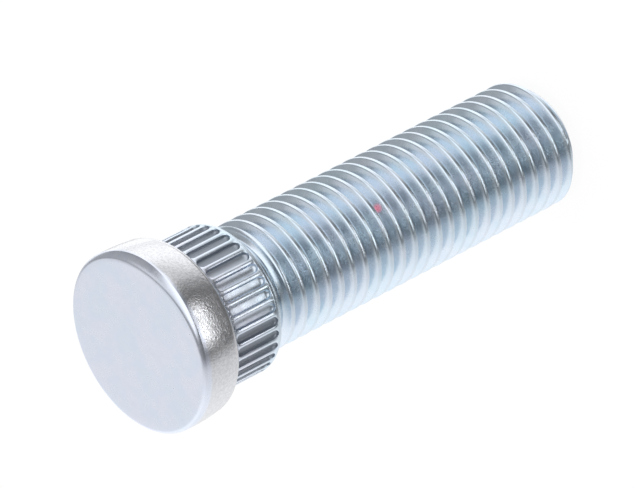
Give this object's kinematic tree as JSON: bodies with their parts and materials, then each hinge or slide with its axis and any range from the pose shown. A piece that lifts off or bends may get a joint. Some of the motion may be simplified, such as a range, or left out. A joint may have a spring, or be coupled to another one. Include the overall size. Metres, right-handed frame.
{
  "type": "wheel stud",
  "caption": "Press-in wheel stud with a round flat head, a straight-knurled collar, a short neck and a long threaded shank with a chamfered end; it holds a road wheel on its hub.",
  "frame": {"origin": "middle of the flat chamfered end that the stud stands on", "axes": "+Z along the stud's axis, from the threaded end up to the head's outer face; X and Y are free, since the stud is round"},
  "size_m": [0.0171, 0.017, 0.0487],
  "materials": {
    "zinc_plated_steel": "bright zinc plating over forged and rolled steel, satin with a pale blue cast"
  },
  "bodies": {
    "root": {"wheel_stud": "zinc_plated_steel"}
  },
  "joints": []
}
